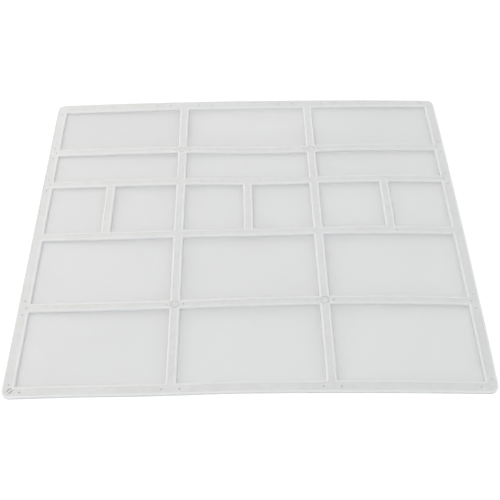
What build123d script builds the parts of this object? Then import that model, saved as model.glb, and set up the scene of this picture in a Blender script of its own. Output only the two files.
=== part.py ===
"""A shallow 18-window screen panel: a fine mesh cloth held between two moulded lattices.

The panel is a thin, flexible rectangle, three windows wide and five rows deep, and the middle row's
windows are halved by short ribs. The lower lattice carries small pegs. They pass through the cloth
into holes in the upper lattice, and are staked there. The panel lies on a flat strip along each of
its two sides and bows up gently between them.

Frame: millimetres, +X across the three columns, +Y from the front row to the back row, +Z up.
The origin is at the middle of the footprint, on the surface that the panel lies on.
"""

from build123d import *
import os

# --- Driving dimensions ---------------------------------------------------------------------------

# Plan; rest_width is the flat strip along each side that the panel lies on
column_count = 3
window_width = 115.5
front_row_depth = 72.5
second_row_depth = 69.5
halved_row_depth = 57.0
shallow_row_depth = 35.5
back_row_depth = 57.0
rib_width = 7.5
border_width = 9.25
rest_width = 6.0
panel_corner_radius = 7.0
window_corner_radius = 1.0

# The outer short ribs stand this much further out than the middles of their windows
short_rib_shift = 3.0

# Heights, counted from the surface that the panel lies on
lower_thickness = 0.7
cloth_thickness = 0.35
cloth_clearance = 0.05
upper_thickness = 1.25
lip_height = 0.3
bow_height = 5.0

# The raised lips along both edges of every rib and border, and the solid rim outside the cloth
lip_width = 1.4
rim_width = 3.0

# Pegs, and how far they stand clear of the cloth and of their holes
peg_diameter = 1.0
peg_engagement = 0.45
peg_hole_clearance = 0.1
cloth_hole_clearance = 0.15

# Places of the pegs, from the centre lines of the ribs and borders
peg_offset = 7.0
back_pair_offset = 21.3
rib_end_peg_offset = 2.5
short_rib_peg_offset = 4.5
corner_peg_inset_x = 14.0
corner_peg_inset_y = 12.0

# Shallow round moulding marks, the last of them with a raised diagonal bar
mark_diameter = 5.6
mark_depth = 0.2
corner_mark_inset = 7.0
corner_mark_bar_width = 0.8

# --- Sizes that follow ----------------------------------------------------------------------------

row_depths = (
    front_row_depth,
    second_row_depth,
    halved_row_depth,
    shallow_row_depth,
    back_row_depth,
)
halved_row = 2

panel_width = 2 * border_width + column_count * window_width + (column_count - 1) * rib_width
panel_depth = 2 * border_width + sum(row_depths) + (len(row_depths) - 1) * rib_width

cloth_bottom = lower_thickness + cloth_clearance
cloth_top = cloth_bottom + cloth_thickness
upper_bottom = cloth_top + cloth_clearance
upper_top = upper_bottom + upper_thickness
lip_top = upper_top + lip_height
peg_root = lower_thickness / 2
peg_top = upper_bottom + peg_engagement

peg_hole_diameter = peg_diameter + 2 * peg_hole_clearance
cloth_hole_diameter = peg_diameter + 2 * cloth_hole_clearance

# Plan shapes are extruded from below the panel to above it, then cut to a layer of the bow
overrun = 2.0
below = Plane.XY.offset(-overrun)
prism_height = lip_top + bow_height + 2 * overrun

# Windows, by column and by row from the front
column_pitch = window_width + rib_width
middle_column = (column_count - 1) / 2
column_x = [(column - middle_column) * column_pitch for column in range(column_count)]
row_y = []
row_start = border_width - panel_depth / 2
for row_depth in row_depths:
    row_y.append(row_start + row_depth / 2)
    row_start += row_depth + rib_width

# Centre lines: upright ribs run from front to back, cross ribs from side to side
upright_rib_x = [x + column_pitch / 2 for x in column_x[:-1]]
cross_rib_y = [y + (depth + rib_width) / 2 for y, depth in zip(row_y[:-1], row_depths)]
short_rib_x = [x + short_rib_shift * (column - middle_column) for column, x in enumerate(column_x)]
side_border_x = (panel_width - border_width) / 2
end_border_y = (panel_depth - border_width) / 2


def window_layout():
    """Every window as (centre x, centre y, width, depth)."""
    layout = []
    for row, (y, depth) in enumerate(zip(row_y, row_depths)):
        for x, rib_x in zip(column_x, short_rib_x):
            if row == halved_row:
                left_edge = x - window_width / 2
                right_edge = x + window_width / 2
                left_width = rib_x - rib_width / 2 - left_edge
                right_width = right_edge - rib_x - rib_width / 2
                layout.append((left_edge + left_width / 2, y, left_width, depth))
                layout.append((right_edge - right_width / 2, y, right_width, depth))
            else:
                layout.append((x, y, window_width, depth))
    return layout


def peg_layout():
    """Every peg's (x, y), beside the junctions where the two lattices are staked together."""
    front_rib_y, halved_front_y, halved_back_y, back_rib_y = cross_rib_y
    pair = (-peg_offset, peg_offset)
    layout = []
    # Beside each upright rib: along the front border and two cross ribs, then, set off, along the back
    for x in upright_rib_x:
        for y in (-end_border_y, front_rib_y, back_rib_y):
            layout += [(x + shift, y) for shift in pair]
        for offset in (-back_pair_offset, back_pair_offset):
            layout += [(x + offset + shift, end_border_y) for shift in pair]
    for side in (-1, 1):
        # Along both side borders: a pair and a third one by the end of each of three cross ribs
        for y in (front_rib_y, halved_back_y, back_rib_y):
            layout += [(side * side_border_x, y + shift) for shift in pair]
            layout.append((side * (side_border_x - rib_end_peg_offset), y))
        # At each corner, one on either border
        for end in (-1, 1):
            layout.append((side * side_border_x, end * (panel_depth / 2 - corner_peg_inset_y)))
            layout.append((side * (panel_width / 2 - corner_peg_inset_x), end * end_border_y))
    # Beside both ends of the right-hand short rib
    for y in (halved_front_y, halved_back_y):
        layout.append((short_rib_x[-1] + short_rib_peg_offset, y))
    return layout


def mark_layout():
    """The (x, y) of the moulding marks on the crossings of the upright ribs and two cross ribs."""
    return [(x, y) for x in upright_rib_x for y in (cross_rib_y[0], cross_rib_y[-1])]


windows = window_layout()
pegs = peg_layout()
marks = mark_layout()
corner_mark = (corner_mark_inset - panel_width / 2, corner_mark_inset - panel_depth / 2)


def bowed_layer(bottom, top):
    """The space between two heights over the whole panel, bent to the panel's bow.

    It is flat along the two sides, over the strips that the panel lies on, and one arc between them.
    """
    edge = panel_width / 2 + overrun
    spring = panel_width / 2 - rest_width
    with BuildPart() as layer:
        with BuildSketch(Plane.XZ):
            with BuildLine():
                Line((-edge, bottom), (-spring, bottom))
                ThreePointArc((-spring, bottom), (0, bottom + bow_height), (spring, bottom))
                Polyline((spring, bottom), (edge, bottom), (edge, top), (spring, top))
                ThreePointArc((spring, top), (0, top + bow_height), (-spring, top))
                Polyline((-spring, top), (-edge, top), (-edge, bottom))
            make_face()
        extrude(amount=panel_depth / 2 + overrun, both=True)
    return layer.part


def bowed_prism(plan, bottom, top):
    """A plan shape made solid between two heights of the bow."""
    with BuildPart() as prism:
        extrude(plan, amount=prism_height)
        add(bowed_layer(bottom, top), mode=Mode.INTERSECT)
    return prism.part


# --- Plan shapes that the pieces share ------------------------------------------------------------


def cloth_plan(clearance):
    """The cloth's rounded rectangle, grown by a clearance."""
    margin = rim_width - clearance
    with BuildSketch(below) as plan:
        RectangleRounded(
            panel_width - 2 * margin,
            panel_depth - 2 * margin,
            panel_corner_radius - margin,
        )
    return plan.sketch


def disc_plan(places, diameter):
    """Equal discs at the given places."""
    with BuildSketch(below) as plan:
        with Locations(*places):
            Circle(diameter / 2)
    return plan.sketch


# The panel's outline with its windows cut out
with BuildSketch(below) as lattice_plan:
    RectangleRounded(panel_width, panel_depth, panel_corner_radius)
    for x, y, width, depth in windows:
        with Locations((x, y)):
            RectangleRounded(width, depth, window_corner_radius, mode=Mode.SUBTRACT)

# The channels between the lips, along the middles of the ribs and borders
with BuildSketch(below) as channel_plan:
    RectangleRounded(
        panel_width - 2 * lip_width,
        panel_depth - 2 * lip_width,
        panel_corner_radius - lip_width,
    )
    for x, y, width, depth in windows:
        with Locations((x, y)):
            RectangleRounded(
                width + 2 * lip_width,
                depth + 2 * lip_width,
                window_corner_radius + lip_width,
                mode=Mode.SUBTRACT,
            )

# The moulding marks: plain discs on the crossings, and one in the front left corner with a bar across
with BuildSketch(below) as mark_plan:
    add(disc_plan([*marks, corner_mark], mark_diameter))
    with Locations(corner_mark):
        Rectangle(mark_diameter, corner_mark_bar_width, rotation=45, mode=Mode.SUBTRACT)

# --- Lower lattice, with its pegs -----------------------------------------------------------------

with BuildPart() as lower_lattice:
    add(bowed_prism(lattice_plan.sketch, 0, lower_thickness))
    add(bowed_prism(disc_plan(pegs, peg_diameter), peg_root, peg_top))
lower_lattice.part.label = "lower_lattice"

# --- Mesh cloth, pierced where the pegs pass through ----------------------------------------------

with BuildPart() as mesh_cloth:
    add(bowed_prism(cloth_plan(0), cloth_bottom, cloth_top))
    extrude(disc_plan(pegs, cloth_hole_diameter), amount=prism_height, mode=Mode.SUBTRACT)
mesh_cloth.part.label = "mesh_cloth"

# --- Upper lattice: its rim round the cloth, its lips, its peg holes and its moulding marks -------

with BuildPart() as upper_lattice:
    add(bowed_prism(lattice_plan.sketch, lower_thickness, lip_top))
    add(bowed_prism(cloth_plan(cloth_clearance), 0, upper_bottom), mode=Mode.SUBTRACT)
    add(bowed_prism(channel_plan.sketch, upper_top, lip_top + overrun), mode=Mode.SUBTRACT)
    add(
        bowed_prism(mark_plan.sketch, upper_top - mark_depth, lip_top + overrun),
        mode=Mode.SUBTRACT,
    )
    extrude(disc_plan(pegs, peg_hole_diameter), amount=prism_height, mode=Mode.SUBTRACT)
upper_lattice.part.label = "upper_lattice"

# --- Files ----------------------------------------------------------------------------------------

os.makedirs("parts", exist_ok=True)
for piece in (lower_lattice, mesh_cloth, upper_lattice):
    export_step(piece.part, f"parts/{piece.part.label}.step")

print(f"panel {panel_width:.1f} x {panel_depth:.1f} x {lip_top + bow_height:.2f} mm")
print(f"{len(windows)} windows, {len(pegs)} pegs, {len(marks) + 1} moulding marks")
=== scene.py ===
# %% [markdown]
# # A mesh panel in a moulded frame
#
# The panel is two thin white plastic lattices with a fine mesh stretched between them. Pegs on the
# lower lattice reach up through the mesh into holes in the upper one, and hold the three together.
# It lies on a table on its two long sides, and its middle stands up a few millimetres, because a
# moulding as wide and thin as this never comes out of its tool quite flat.
#
# Each layer is modelled flat, which keeps every ring and band easy to place, and all of them are
# then bent by one and the same function, so that they stay pressed together all over.

# %% Load the solids that the looks are built round
import math

import bmesh
import bpy
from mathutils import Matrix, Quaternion, Vector


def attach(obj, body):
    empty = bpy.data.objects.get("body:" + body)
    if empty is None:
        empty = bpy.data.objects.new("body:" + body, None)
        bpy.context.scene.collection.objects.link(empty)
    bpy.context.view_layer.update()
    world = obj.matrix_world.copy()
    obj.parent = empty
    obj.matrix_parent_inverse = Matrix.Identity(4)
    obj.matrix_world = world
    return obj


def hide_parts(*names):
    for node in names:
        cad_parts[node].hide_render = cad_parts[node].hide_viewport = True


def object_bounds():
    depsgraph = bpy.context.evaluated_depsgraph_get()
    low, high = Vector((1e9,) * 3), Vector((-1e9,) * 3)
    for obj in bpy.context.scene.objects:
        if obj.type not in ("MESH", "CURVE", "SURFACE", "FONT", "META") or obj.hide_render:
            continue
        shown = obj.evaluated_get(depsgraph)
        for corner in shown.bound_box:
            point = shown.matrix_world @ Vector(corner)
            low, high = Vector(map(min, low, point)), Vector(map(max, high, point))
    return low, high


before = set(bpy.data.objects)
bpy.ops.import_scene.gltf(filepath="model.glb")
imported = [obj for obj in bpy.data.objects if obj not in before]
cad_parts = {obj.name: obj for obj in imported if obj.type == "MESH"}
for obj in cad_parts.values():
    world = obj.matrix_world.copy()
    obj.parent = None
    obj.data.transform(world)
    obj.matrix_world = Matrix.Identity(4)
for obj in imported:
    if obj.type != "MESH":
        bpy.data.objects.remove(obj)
solid_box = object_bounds()
mm = 0.001
print("solids, in mm:", [[round(c / mm, 2) for c in corner] for corner in solid_box])

# %% [markdown]
# ## The plan
#
# Ribs divide the panel into three columns and five rows of windows. The middle row is halved by
# short ribs, so there are eighteen windows and not fifteen. The widths of ribs and windows add up
# to the panel's own width and depth, which come from the solids.

# %% Sizes of the plan
half_width, half_depth = solid_box[1].x, solid_box[1].y
window_width = 115.5 * mm
row_depths = [depth * mm for depth in (72.5, 69.5, 57.0, 35.5, 57.0)]
halved_row = 2
rib_width = 7.5 * mm
border_width = 9.25 * mm
short_rib_shift = 3.0 * mm
panel_corner = 7.0 * mm
window_corner = 1.0 * mm
spare = half_depth * 2 - sum(row_depths) - 4 * rib_width - 2 * border_width
print(f"left over along the depth: {spare / mm:.3f} mm")


# %% Where the windows are
def window_places():
    """Every window, as the middle of it and half of its two sizes."""
    places = []
    front = border_width - half_depth
    for row, depth in enumerate(row_depths):
        for column in (-1, 0, 1):
            left = column * (window_width + rib_width) - window_width / 2
            right = left + window_width
            spans = [(left, right)]
            if row == halved_row:
                rib = (left + right) / 2 + column * short_rib_shift
                spans = [(left, rib - rib_width / 2), (rib + rib_width / 2, right)]
            for start, end in spans:
                middle = ((start + end) / 2, front + depth / 2)
                places.append((*middle, (end - start) / 2, depth / 2))
        front += depth + rib_width
    return places


windows = window_places()
panel = (0.0, 0.0, half_width, half_depth)
print(len(windows), "windows")

# %% [markdown]
# ## Pegs and moulding marks
#
# The pegs stand in pairs beside the crossings of the ribs, with a third one where a rib meets a
# side. Seen from above, each is a small dark dot in a hole. The larger rings, on four of the
# crossings, are the marks that ejector pins leave when they push the moulding out of its tool. The
# mark in the front left corner is a sunk disc with a bar across it.

# %% Where the pegs and the marks are
upright_x = (window_width + rib_width) / 2
cross_y = []
front = border_width - half_depth
for depth in row_depths[:-1]:
    front += depth + rib_width
    cross_y.append(front - rib_width / 2)
front_rib, halved_front, halved_back, back_rib = cross_y
side_x = half_width - border_width / 2
end_y = half_depth - border_width / 2

pair = (-7.0 * mm, 7.0 * mm)
back_offset = 21.3 * mm
rib_end_offset, short_rib_offset = 2.5 * mm, 4.5 * mm
corner_inset_x, corner_inset_y = 14.0 * mm, 12.0 * mm
mark_inset = 6.4 * mm

pegs = []
for side in (-1, 1):
    for shift in pair:
        for y in (-end_y, front_rib, back_rib):
            pegs.append((side * upright_x + shift, y))
        for y in (front_rib, halved_back, back_rib):
            pegs.append((side * side_x, y + shift))
        for offset in (-back_offset, back_offset):
            pegs.append((side * upright_x + offset + shift, end_y))
    for y in (front_rib, halved_back, back_rib):
        pegs.append((side * (side_x - rib_end_offset), y))
    for end in (-1, 1):
        pegs.append((side * side_x, end * (half_depth - corner_inset_y)))
        pegs.append((side * (half_width - corner_inset_x), end * end_y))
for y in (halved_front, halved_back):
    pegs.append((upright_x * 2 + short_rib_shift + short_rib_offset, y))

marks = [(side * upright_x, y) for side in (-1, 1) for y in (front_rib, back_rib)]
corner_mark = (mark_inset - half_width, mark_inset - half_depth)
print(len(pegs), "pegs,", len(marks) + 1, "marks")

# %% [markdown]
# ## The layers
#
# From the table up: the lower lattice, the mesh, and the upper lattice with a low lip along both
# edges of every rib. Between the lips runs a shallow channel. The lattices are pressed together,
# so the mesh is sunk into both of them, and its edge is hidden three millimetres inside the
# panel's.

# %% Heights of the flat layers
lower_top = 0.92 * mm
mesh_bottom, mesh_top = 0.75 * mm, 1.10 * mm
upper_bottom = 0.94 * mm
channel_top = 2.40 * mm
lip_top = 2.70 * mm
peg_top = 1.60 * mm
wall_top = 2.20 * mm
touching = 0.001 * mm
peg_radius, hole_radius = 0.5 * mm, 0.65 * mm
mark_radius, mark_depth = 3.6 * mm, 0.9 * mm
print(f"flat, the panel is {lip_top / mm:.2f} mm thick")

# %% [markdown]
# ## Bands and flats
#
# A lattice has no simple starting shape: it is a flat with eighteen holes in it. It could be a
# slab with boxes cut out by booleans, but then the lips and their soft edges would have to be
# bevelled on whatever faces the cuts leave. Here every window starts as one rounded face, which is
# inset from point to point along the rib's profile. Each inset leaves a band of even, four-sided
# faces behind it, just where the light catches. The flats between the windows are filled at the
# end.


# %% The faces that the bands start from
def rounded_face(bm, place, grow, corner, height):
    """A flat rounded rectangle at a height, grown all round by a distance."""
    x, y, half_x, half_y = place
    verts = bmesh.ops.create_grid(bm, x_segments=1, y_segments=1, size=1.0)["verts"]
    bmesh.ops.scale(bm, vec=(half_x + grow, half_y + grow, 1.0), verts=verts)
    bmesh.ops.translate(bm, vec=(x, y, height), verts=verts)
    rounded = bmesh.ops.bevel(
        bm, geom=verts, offset=corner + grow, offset_type="OFFSET", segments=5,
        profile=0.5, affect="VERTICES", clamp_overlap=False, material=-1,
    )
    return rounded["verts"][0].link_faces[0]


def round_face(bm, place, radius, height, steps):
    """A flat disc at a height."""
    verts = bmesh.ops.create_circle(bm, cap_ends=True, segments=steps, radius=radius)["verts"]
    bmesh.ops.translate(bm, vec=(*place, height), verts=verts)
    return verts[0].link_faces[0]


# %% Walking a face along a profile, and filling the flats
def walk(bm, face, points, end="open"):
    """Insets a face from each (out, up) point to the next, and opens it at the end."""
    for here, there in zip(points, points[1:]):
        face.normal_update()
        up = 1 if face.normal.z > 0 else -1
        bmesh.ops.inset_individual(
            bm, faces=[face], thickness=here[0] - there[0], depth=up * (there[1] - here[1]),
            use_even_offset=True,
        )
    if end == "open":
        bmesh.ops.delete(bm, geom=[face], context="FACES_ONLY")


def fill(bm, height):
    """Fills the flat between all the open edges at a height, and leaves the holes in it open."""
    edges = [
        edge for edge in bm.edges
        if edge.is_boundary and all(abs(vert.co.z - height) < touching for vert in edge.verts)
    ]
    bmesh.ops.triangle_fill(bm, edges=edges, use_beauty=True, normal=(0, 0, 1))


# %% [markdown]
# A profile is a short path of points: how far out, how high, and how softly the corner there is
# rounded. Moulded plastic has no sharp edges, and on a white part the thin light line along a soft
# edge is most of what shows its shape. The points of the windows' walls are marked with a number,
# so that the plastic's finish can tell them from flats and paint light on them.


# %% Soft corners on a profile
def softened(path, steps=3):
    """The path's points, with a soft curve in place of each corner that has a radius."""
    points = []
    for index, (out, up, radius) in enumerate(path):
        here = Vector((out, up))
        if not radius:
            points.append(here)
            continue
        before = (Vector(path[index - 1][:2]) - here).normalized()
        after = (Vector(path[index + 1][:2]) - here).normalized()
        middle = here + radius * (before + after)
        for step in range(steps + 1):
            turn = math.radians(90) * step / steps
            points.append(middle - radius * (after * math.cos(turn) + before * math.sin(turn)))
    return points


def lattice(bm, window_path, *edge_paths):
    """Walks every window along its profile, and the outer edge along its own ones."""
    wall = bm.verts.layers.float.new("wall")
    points = softened(window_path)
    for place in windows:
        face = rounded_face(bm, place, points[0].x, window_corner, points[0].y)
        walk(bm, face, points)
    for vert in bm.verts:
        vert[wall] = float(vert.co.z < wall_top)
    for path in edge_paths:
        points = softened(path)
        face = rounded_face(bm, panel, points[0].x, panel_corner, points[0].y)
        walk(bm, face, points)
    bmesh.ops.remove_doubles(bm, verts=bm.verts[:], dist=touching)


# %% [markdown]
# ## Bending the flat layers
#
# The bend is flat along the two sides that rest on the table and one arc between them, lower at
# the back than at the front. The middle of the back is a little slack, and the right side has
# lifted. The ribs also drift by up to a few millimetres, as those of a large thin moulding do. All
# of it is one function of a point's place, where across and along run from -1 to 1, from the left
# side to the right one and from the front to the back. A straight face can't bend, so each layer
# is first cut at even steps.

# %% How far the panel bends and its ribs drift
rest_width = 6.0 * mm
front_rise, back_rise, right_rise = 5.0 * mm, 2.9 * mm, 2.0 * mm

# The slack place in the back: its middle and reach, how far it sinks and how far it drifts forward
slack_middle, slack_reach = 0.1, 0.5
slack_drop, slack_drift = 6.0 * mm, 4.0 * mm

# Towards the right: the middle of the front, and the right side
middle_drift, side_drift = 1.44 * mm, 0.2 * mm

# Towards the back: the front as a whole, how it turns, and the wave of the ribs behind it
front_drift, front_turn, rib_wave = 1.1 * mm, 0.75 * mm, 3.0 * mm

# Towards the front: a dent in the front edge, and the left of the back border
dent_middle, dent_reach, dent_drift = -0.42, 0.4, 0.9 * mm
dip_start, dip_end, dip_drift = 0.6, 0.945, 1.2 * mm
print(f"the middle of the front stands {front_rise / mm:.1f} mm high")


# %% The bend
def bump(value, middle, reach):
    """1 at the middle, falling smoothly to 0 at a distance."""
    return max(0.0, 1 - ((value - middle) / reach) ** 2) ** 2


def bow(x, along):
    """How high the panel stands above the table, away from its two long sides."""
    spring = half_width - rest_width
    rise = front_rise + (back_rise - front_rise) * (along + 1) / 2
    radius = (spring**2 + rise**2) / (2 * rise)
    return math.sqrt(radius**2 - x**2) - radius + rise if abs(x) < spring else 0.0


def settle(bm):
    """Moves every point of a flat layer to its place on the bowed panel."""
    for vert in bm.verts:
        across, along = vert.co.x / half_width, vert.co.y / half_depth
        front, back, inside = (1 - along) / 2, (1 + along) / 2, 1 - along**2
        back_border = min((1 - along) / (1 - dip_end), (along - dip_start) / (dip_end - dip_start))
        slack = bump(across, slack_middle, slack_reach) * inside * back**3
        vert.co.z += bow(vert.co.x, along) - slack_drop * slack
        vert.co.z += right_rise * inside * ((1 + across) / 2) ** 2
        vert.co.x += (
            middle_drift * front * (1 - across**2)
            + side_drift * inside * (1 + across)
        )
        vert.co.y += (
            (front_drift - front_turn * across) * front**3
            + rib_wave * math.sin(math.pi * across) * inside * front**2
            - slack_drift * slack
            - dent_drift * bump(across, dent_middle, dent_reach) * front**8
            - dip_drift * (1 - across) * max(0.0, back_border)
        )


def cut_evenly(bm, strips_across=40, strips_along=19):
    """Cuts a flat layer into even strips both ways, so that it can follow the bend."""
    right, back = Vector((1, 0, 0)), Vector((0, 1, 0))
    half_across, half_along = strips_across // 2, strips_along // 2
    spring = half_width - rest_width
    cuts = [
        (right, spring * step / half_across)
        for step in range(-half_across, half_across + 1)
    ]
    cuts += [
        (back, half_depth * step / (strips_along / 2))
        for step in range(-half_along, half_along + 1)
    ]
    for normal, place in cuts:
        bmesh.ops.bisect_plane(
            bm, geom=bm.verts[:] + bm.edges[:] + bm.faces[:], dist=1e-7,
            plane_co=normal * place, plane_no=normal,
        )


# %% [markdown]
# Each finished layer keeps one number on its points: its height while it was flat. The plastic's
# finish reads it later, to tell lips, whose colour gets a painted highlight, from channels.


# %% From a flat layer to a piece of the panel
def as_piece(bm, name, stands_for, cut=True):
    """Cuts and bends a layer, and puts it in the scene in place of its solid."""
    if cut:
        cut_evenly(bm)
    level = bm.verts.layers.float.new("level")
    for vert in bm.verts:
        vert[level] = vert.co.z / lip_top
    settle(bm)
    bmesh.ops.recalc_face_normals(bm, faces=bm.faces)
    for face in bm.faces:
        face.smooth = True
    open_edges = sum(not edge.is_manifold for edge in bm.edges)
    mesh = bpy.data.meshes.new(name)
    bm.to_mesh(mesh)
    bm.free()
    mesh.set_sharp_from_angle(angle=math.radians(40))
    piece = bpy.data.objects.new(name, mesh)
    bpy.context.scene.collection.objects.link(piece)
    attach(piece, "root")
    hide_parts(stands_for)
    mesh.calc_loop_triangles()
    print(f"{name}: {len(mesh.loop_triangles)} triangles, {open_edges} open edges")
    return piece


# %% [markdown]
# ## The lower lattice
#
# A plain flat lattice, softly rounded on every edge, with the pegs standing on it.

# %% Make the lower lattice
margin = 0.4 * mm
seam = 0.45 * mm
soft_top, soft_foot = 0.04 * mm, 0.12 * mm
peg_bevel = 0.1 * mm

bm = bmesh.new()
lattice(
    bm,
    [(margin, lower_top, 0), (0, lower_top, 0), (0, 0, soft_foot), (margin, 0, 0)],
    [(0, seam, 0), (0, lower_top, soft_top), (-margin, lower_top, 0)],
    [(0, seam, 0), (0, 0, soft_foot), (-margin, 0, 0)],
)
peg_path = [
    (peg_radius, lower_top),
    (peg_radius, peg_top - peg_bevel),
    (peg_radius - peg_bevel, peg_top),
]
for place in pegs:
    walk(bm, round_face(bm, place, peg_radius, lower_top, steps=10), peg_path, "closed")
fill(bm, 0)
fill(bm, lower_top)
lower = as_piece(bm, "lower_moulding", "lower_lattice")

# %% [markdown]
# ## The upper lattice
#
# The same plan, but its profile climbs over a lip: out of the channel, round the lip, and down the
# window's wall. The wall leans, so that the moulding slips out of its tool, and its foot is sunk
# in the mesh. Round the outside the lip is the panel's rim. The holes and the marks start from the
# channel's floor, like small windows. A mark is a ring-shaped groove round an island, and the
# corner's mark is two halves of a disc, with a bar left between them.


# %% The two halves of the barred mark
def half_disc(bm, place, radius, bar, side, height):
    """Half of a disc, on one side of a diagonal bar."""
    across = Vector((side, -side, 0)).normalized()
    face = round_face(bm, place, radius, height, steps=32)
    cut = bmesh.ops.bisect_plane(
        bm, geom=list(face.verts) + list(face.edges) + [face], dist=1e-7, clear_inner=True,
        plane_co=Vector((*place, height)) + across * bar / 2, plane_no=across,
    )
    edges = [item for item in cut["geom_cut"] if isinstance(item, bmesh.types.BMEdge)]
    return edges[0].link_faces[0]


# %% Profiles of the upper lattice
lip_width, nook = 1.4 * mm, 0.08 * mm
nook_soft, inner_soft, outer_soft, rim_soft = 0.05 * mm, 0.22 * mm, 0.7 * mm, 0.35 * mm
wall_lean, foot_width = 0.9 * mm, 0.5 * mm
rim_middle = 1.8 * mm
lip_path = [
    (lip_width + nook, channel_top, 0),
    (lip_width, channel_top, nook_soft),
    (lip_width, lip_top, inner_soft),
    (0, lip_top, outer_soft),
    (-wall_lean, upper_bottom, 0),
    (foot_width, upper_bottom, 0),
]
rim_path = [
    (0, rim_middle, 0),
    (0, lip_top, rim_soft),
    (-lip_width, lip_top, inner_soft),
    (-lip_width, channel_top, nook_soft),
    (-lip_width - nook, channel_top, 0),
]
foot_path = [(0, rim_middle, 0), (0, upper_bottom, soft_top), (-margin, upper_bottom, 0)]

draft, groove_width, island_drop = 0.05 * mm, 0.65 * mm, 0.1 * mm
corner_radius, bar_width = 2.6 * mm, 0.8 * mm
sunk_path = [(0, channel_top), (-draft, channel_top - mark_depth)]
ring_path = sunk_path + [
    (draft - groove_width, channel_top - mark_depth),
    (-groove_width, channel_top - island_drop),
]
print(f"the window's wall is {(lip_top - upper_bottom) / mm:.2f} mm high")

# %% Make the upper lattice
bm = bmesh.new()
lattice(bm, lip_path, rim_path, foot_path)
for place in pegs:
    face = round_face(bm, place, hole_radius, channel_top, steps=12)
    walk(bm, face, [(hole_radius, channel_top), (hole_radius, upper_bottom)])
for place in marks:
    walk(bm, round_face(bm, place, mark_radius, channel_top, steps=32), ring_path, "closed")
for side in (-1, 1):
    face = half_disc(bm, corner_mark, corner_radius, bar_width, side, channel_top)
    walk(bm, face, sunk_path, "closed")
fill(bm, upper_bottom)
fill(bm, channel_top)
upper = as_piece(bm, "upper_moulding", "upper_lattice")

# %% [markdown]
# ## The mesh
#
# The mesh is real threads, not a sheet with a pattern of holes: what shows through it is the table
# and the ribs' soft shadows on it, and they move behind the threads as the eye moves. Woven
# threads go over and under each other, but at this size two layers that just touch look the same.
# Each thread has four sides and smooth shading, because there are over a thousand. One thread is
# made by spinning a small face along its length with no turn. Copying one thread at a time would
# be slow, so the row is doubled again and again, and what goes past its end is taken off.

# %% Sizes of the mesh
mesh_width, mesh_depth = 374.0 * mm, 334.0 * mm
pitch = 0.5 * mm
thread = 0.175 * mm

# A hair more than half a thread, so that the two layers touch where they cross
half_layer = 0.52 * thread
print(f"the threads cover {100 * thread / pitch:.0f} % of the mesh each way")


# %% One layer of parallel threads
def threads(length, spread, height, steps, turned):
    """A row of threads along X, or along Y if turned."""
    bm = bmesh.new()
    verts = bmesh.ops.create_circle(bm, cap_ends=True, segments=4, radius=thread / 2)["verts"]
    upright = Quaternion((0, 1, 0), math.radians(90)).to_matrix()
    bmesh.ops.rotate(bm, verts=verts, cent=(0, 0, 0), matrix=upright)
    first = -(spread - pitch) / 2
    bmesh.ops.translate(bm, vec=(-length / 2, first, height), verts=verts)
    bmesh.ops.spin(
        bm, geom=bm.verts[:] + bm.edges[:] + bm.faces[:], cent=(0, 0, 0), axis=(0, 0, 1),
        dvec=(length / steps, 0, 0), angle=0.0, steps=steps, use_merge=False,
    )
    reach = pitch
    while reach < spread:
        twins = bmesh.ops.duplicate(bm, geom=bm.verts[:] + bm.edges[:] + bm.faces[:])["geom"]
        moved = [item for item in twins if isinstance(item, bmesh.types.BMVert)]
        bmesh.ops.translate(bm, vec=(0, reach, 0), verts=moved)
        reach *= 2
    past = [vert for vert in bm.verts if vert.co.y > spread / 2]
    bmesh.ops.delete(bm, geom=past, context="VERTS")
    if turned:
        sideways = Quaternion((0, 0, 1), math.radians(90)).to_matrix()
        bmesh.ops.rotate(bm, verts=bm.verts[:], cent=(0, 0, 0), matrix=sideways)
    print(len(bm.verts) // (4 * (steps + 1)), "threads")
    row = bpy.data.meshes.new("row")
    bm.to_mesh(row)
    bm.free()
    return row


# %% Make the mesh
bm = bmesh.new()
lengthwise = threads(mesh_depth, mesh_width, mesh_bottom + half_layer, steps=7, turned=True)
crosswise = threads(mesh_width, mesh_depth, mesh_top - half_layer, steps=24, turned=False)
bm.from_mesh(lengthwise)
bm.from_mesh(crosswise)
mesh = as_piece(bm, "mesh_threads", "mesh_cloth", cut=False)

# %% [markdown]
# ## Writing materials as sums
#
# A material is a graph of small nodes. To keep the sums in it readable, a node's output is wrapped
# in a small class that knows + - and *, and one method makes every other kind of node.


# %% A wire that knows arithmetic
class Wire:
    """One output of a node."""

    def __init__(self, finish, socket):
        self.finish = finish
        self.socket = socket

    def maths(self, operation, first, second):
        """A Math node on two wires or numbers."""
        return self.finish.node("ShaderNodeMath", {"operation": operation}, {0: first, 1: second})

    def __add__(self, other):
        return self.maths("ADD", self, other)

    def __sub__(self, other):
        return self.maths("SUBTRACT", self, other)

    def __rsub__(self, other):
        return self.maths("SUBTRACT", other, self)

    def __mul__(self, other):
        return self.maths("MULTIPLY", self, other)

    __radd__ = __add__
    __rmul__ = __mul__


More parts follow.
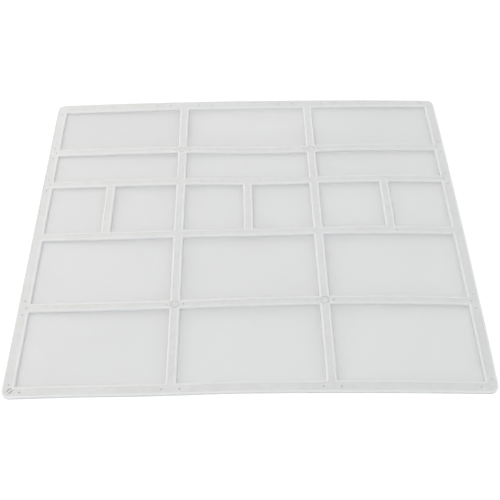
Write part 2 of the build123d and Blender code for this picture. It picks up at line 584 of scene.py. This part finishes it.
# %% A finish, which makes the nodes
class Finish:
    """The nodes of one material or world."""

    def __init__(self, owner):
        owner.use_nodes = True
        self.tree = owner.node_tree
        self.tree.nodes.clear()

    def node(self, kind, settings=None, inputs=None, output=0):
        """Adds a node, sets it up, feeds its sockets, and returns one of its outputs."""
        made = self.tree.nodes.new(kind)
        for name, value in (settings or {}).items():
            setattr(made, name, value)
        for name, value in (inputs or {}).items():
            if isinstance(value, Wire):
                self.tree.links.new(value.socket, made.inputs[name])
            else:
                made.inputs[name].default_value = value
        return Wire(self, made.outputs[output]) if made.outputs else None

    def noise(self, where, scale, detail=2.0):
        """A slow or fine random pattern round 0.5."""
        inputs = {"Vector": where, "Scale": scale, "Detail": detail}
        return self.node("ShaderNodeTexNoise", None, inputs)

    def mixed(self, share, first, second):
        """A colour between two others, from the Mix node's colour sockets."""
        inputs = {0: share, 6: first, 7: second}
        return self.node("ShaderNodeMix", {"data_type": "RGBA"}, inputs, 2)

    def spread(self, value, low, high):
        """How far a value has come from low to high, from 0 to 1."""
        return self.node("ShaderNodeMapRange", None, {0: value, 1: low, 2: high})


# %% [markdown]
# ## Milky plastic
#
# The lattices are moulded in unpigmented polypropylene, which is milky: light goes a little way
# in, so thin edges glow and nothing is quite opaque. Slow clouds of colour come from the melt's
# flow, the fine grain from the tool's surface. Lips and window walls are a little smoother than
# the channels, which keep a trace of dust, and their colour is painted lighter: a painted
# highlight along the lips, and painted light on the walls, which lifts their shade. The two
# numbers on the points tell them apart, and a channel's floor lies at 0.89 of the lip's height.
# Subsurface light gives the depth.

# %% The plastic
cloudy_colour, pale_colour = (0.885, 0.883, 0.858, 1), (0.915, 0.914, 0.893, 1)
# The lighter colour of lips and window walls is painted light: a highlight on the lips, a lift of
# the walls' shade.
dust_colour, painted_light_colour = (0.785, 0.775, 0.735, 1), (0.955, 0.955, 0.945, 1)
dust_share, painted_light_share = 0.35, 0.9
lip_start, lip_end = 0.90, 0.99


def milky_plastic():
    material = bpy.data.materials.new("milky_plastic")
    finish = Finish(material)
    where = finish.node("ShaderNodeTexCoord", output="Object")
    level = finish.node("ShaderNodeAttribute", {"attribute_name": "level"}, output="Fac")
    lip = finish.spread(level, lip_start, lip_end)
    wall = finish.node("ShaderNodeAttribute", {"attribute_name": "wall"}, output="Fac")
    # Lips and window walls: smoother, kept free of dust, and painted lighter.
    clean_and_lit = lip.maths("MAXIMUM", lip, wall)
    clouds = finish.spread(finish.noise(where, scale=22.0), 0.35, 0.65)
    dust = finish.spread(finish.noise(where, scale=160.0, detail=4.0), 0.45, 0.75)
    grain = finish.noise(where, scale=2400.0, detail=3.0)
    body = finish.mixed(clouds, cloudy_colour, pale_colour)
    body = finish.mixed(dust * (1 - clean_and_lit) * dust_share, body, dust_colour)
    # A painted highlight on the lips and painted light on the window walls.
    body = finish.mixed(clean_and_lit * painted_light_share, body, painted_light_colour)
    bump = finish.node(
        "ShaderNodeBump", None, {"Strength": 0.25, "Distance": 0.06 * mm, "Height": grain}
    )
    shader = finish.node(
        "ShaderNodeBsdfPrincipled", None,
        {
            "Base Color": body,
            "Roughness": 0.48 + 0.14 * grain - 0.10 * clean_and_lit,
            "IOR": 1.49,
            "Subsurface Weight": 0.65,
            "Subsurface Radius": (1.0, 1.0, 1.0),
            "Subsurface Scale": 2.5 * mm,
            "Normal": bump,
        },
    )
    finish.node("ShaderNodeOutputMaterial", None, {"Surface": shader})
    return material


plastic = milky_plastic()
for piece in (lower, upper):
    piece.data.materials.append(plastic)
print(plastic.name, "has", len(plastic.node_tree.nodes), "nodes")

# %% [markdown]
# ## Polyester thread
#
# White polyester, a little duller and warmer in places, with specks of lighter fuzz. The threads
# are thinner than a grain of salt, so their finish is kept plain. Some light goes right through a
# thread, and a share of a translucent shader lets it.

# %% The thread
thread_colour, stain_colour = (0.84, 0.84, 0.835, 1), (0.82, 0.82, 0.81, 1)
fuzz_colour, through_colour = (0.86, 0.86, 0.86, 1), (0.82, 0.82, 0.82, 1)
fuzz_share, through_share = 0.4, 0.3


def polyester_thread():
    material = bpy.data.materials.new("polyester_thread")
    finish = Finish(material)
    where = finish.node("ShaderNodeTexCoord", output="Object")
    stains = finish.spread(finish.noise(where, scale=9.0, detail=3.0), 0.35, 0.70)
    fuzz = finish.noise(where, scale=900.0, detail=3.0)
    body = finish.mixed(stains, thread_colour, stain_colour)
    body = finish.mixed(finish.spread(fuzz, 0.5, 0.8) * fuzz_share, body, fuzz_colour)
    bump = finish.node(
        "ShaderNodeBump", None, {"Strength": 0.3, "Distance": 0.03 * mm, "Height": fuzz}
    )
    solid = finish.node(
        "ShaderNodeBsdfPrincipled", None,
        {"Base Color": body, "Roughness": 0.5 + 0.2 * fuzz, "IOR": 1.55, "Normal": bump},
    )
    through = finish.node("ShaderNodeBsdfTranslucent", None, {"Color": through_colour})
    shader = finish.node("ShaderNodeMixShader", None, {0: through_share, 1: solid, 2: through})
    finish.node("ShaderNodeOutputMaterial", None, {"Surface": shader})
    return material


polyester = polyester_thread()
mesh.data.materials.append(polyester)
print(polyester.name, "has", len(polyester.node_tree.nodes), "nodes")

# %% [markdown]
# ## Table and light
#
# The table is plain and pale. To the camera it is lifted to white by a little light of its own,
# which lights nothing else, so the panel's shadows stay on it. One large soft lamp stands on the
# left, slightly behind the panel, like a window: it is a little warm, close enough for the shadows
# to grow longer towards the right, and a cool room fills them. The room is brighter towards the
# horizon than overhead, as a room with pale walls is, so the small upright walls of the windows
# aren't left dark.


# %% The part of the light that only the eye sees
def seen_only(finish):
    """1 for rays from the camera, or through a mirror or glass, and 0 for all others."""
    names = ("Is Camera Ray", "Is Glossy Ray", "Is Transmission Ray")
    direct, mirrored, through = [finish.node("ShaderNodeLightPath", output=name) for name in names]
    return direct.maths("MAXIMUM", direct.maths("MAXIMUM", direct, mirrored), through)


# %% The table
table_reach, table_drop = 4.0, 0.02 * mm
table_colour, table_lift = (0.92, 0.92, 0.92, 1), 0.60

bm = bmesh.new()
bmesh.ops.create_grid(bm, x_segments=1, y_segments=1, size=table_reach)
bmesh.ops.translate(bm, vec=(0, 0, -table_drop), verts=bm.verts[:])
table_mesh = bpy.data.meshes.new("table")
bm.to_mesh(table_mesh)
bm.free()
table = bpy.data.objects.new("table", table_mesh)
bpy.context.scene.collection.objects.link(table)

pale_table = bpy.data.materials.new("pale_table")
finish = Finish(pale_table)
matt = finish.node("ShaderNodeBsdfDiffuse", None, {"Color": table_colour})
lift = finish.node("ShaderNodeEmission", None, {"Strength": seen_only(finish) * table_lift})
both = finish.node("ShaderNodeAddShader", None, {0: matt, 1: lift})
finish.node("ShaderNodeOutputMaterial", None, {"Surface": both})
table_mesh.materials.append(pale_table)
print("the table reaches", table_reach, "m each way")

# %% The room
cool_white, seen_white = (0.943, 0.969, 1.0, 1), (1, 1, 1, 1)
overhead, horizon = 0.242, 1.008

world = bpy.data.worlds.new("room")
bpy.context.scene.world = world
finish = Finish(world)
seen = seen_only(finish)
colour = finish.mixed(seen, cool_white, seen_white)
where = finish.node("ShaderNodeTexCoord", output="Generated")
height = finish.node("ShaderNodeSeparateXYZ", None, {0: where}, output=2)
fill = overhead + horizon * (1 - height * height)
strength = fill * (1 - seen) + seen
back = finish.node("ShaderNodeBackground", None, {"Color": colour, "Strength": strength})
finish.node("ShaderNodeOutputWorld", None, {"Surface": back})
print(f"the room is {overhead} bright overhead, {overhead + horizon} at the horizon")

# %% The lamp
light = bpy.data.lights.new("window_light", "AREA")
light.shape = "SQUARE"
light.size = 0.8
light.energy = 2.31
light.color = (1.0, 0.90, 0.78)
lamp = bpy.data.objects.new("window_light", light)
bpy.context.scene.collection.objects.link(lamp)
lamp.location = (-0.72, 0.28, 0.62)
lamp.rotation_mode = "QUATERNION"
lamp.rotation_quaternion = (-lamp.location).to_track_quat("-Z", "Y")
print(f"the lamp is {lamp.location.length:.2f} m from the panel's middle")

# %% [markdown]
# ## The camera
#
# It stands in front of the panel and above it, looks down by about fifty degrees, and is held very
# slightly off level.

# %% Place the camera
camera_data = bpy.data.cameras.new("camera")
camera_data.sensor_width = 36.0
camera_data.lens = 60.48
camera_data.clip_start = 0.01
camera = bpy.data.objects.new("camera", camera_data)
bpy.context.scene.collection.objects.link(camera)
camera.location = (0.00016, -0.49301, 0.56185)
looking = Vector((0.00228, 0.64161, -0.76703))
roll = Quaternion((0, 0, 1), math.radians(-0.676))
camera.rotation_mode = "QUATERNION"
camera.rotation_quaternion = looking.to_track_quat("-Z", "Y") @ roll
bpy.context.scene.camera = camera
bpy.context.scene.view_settings.view_transform = "Standard"
print(f"the camera looks down by {math.degrees(math.asin(-looking.normalized().z)):.0f} degrees")
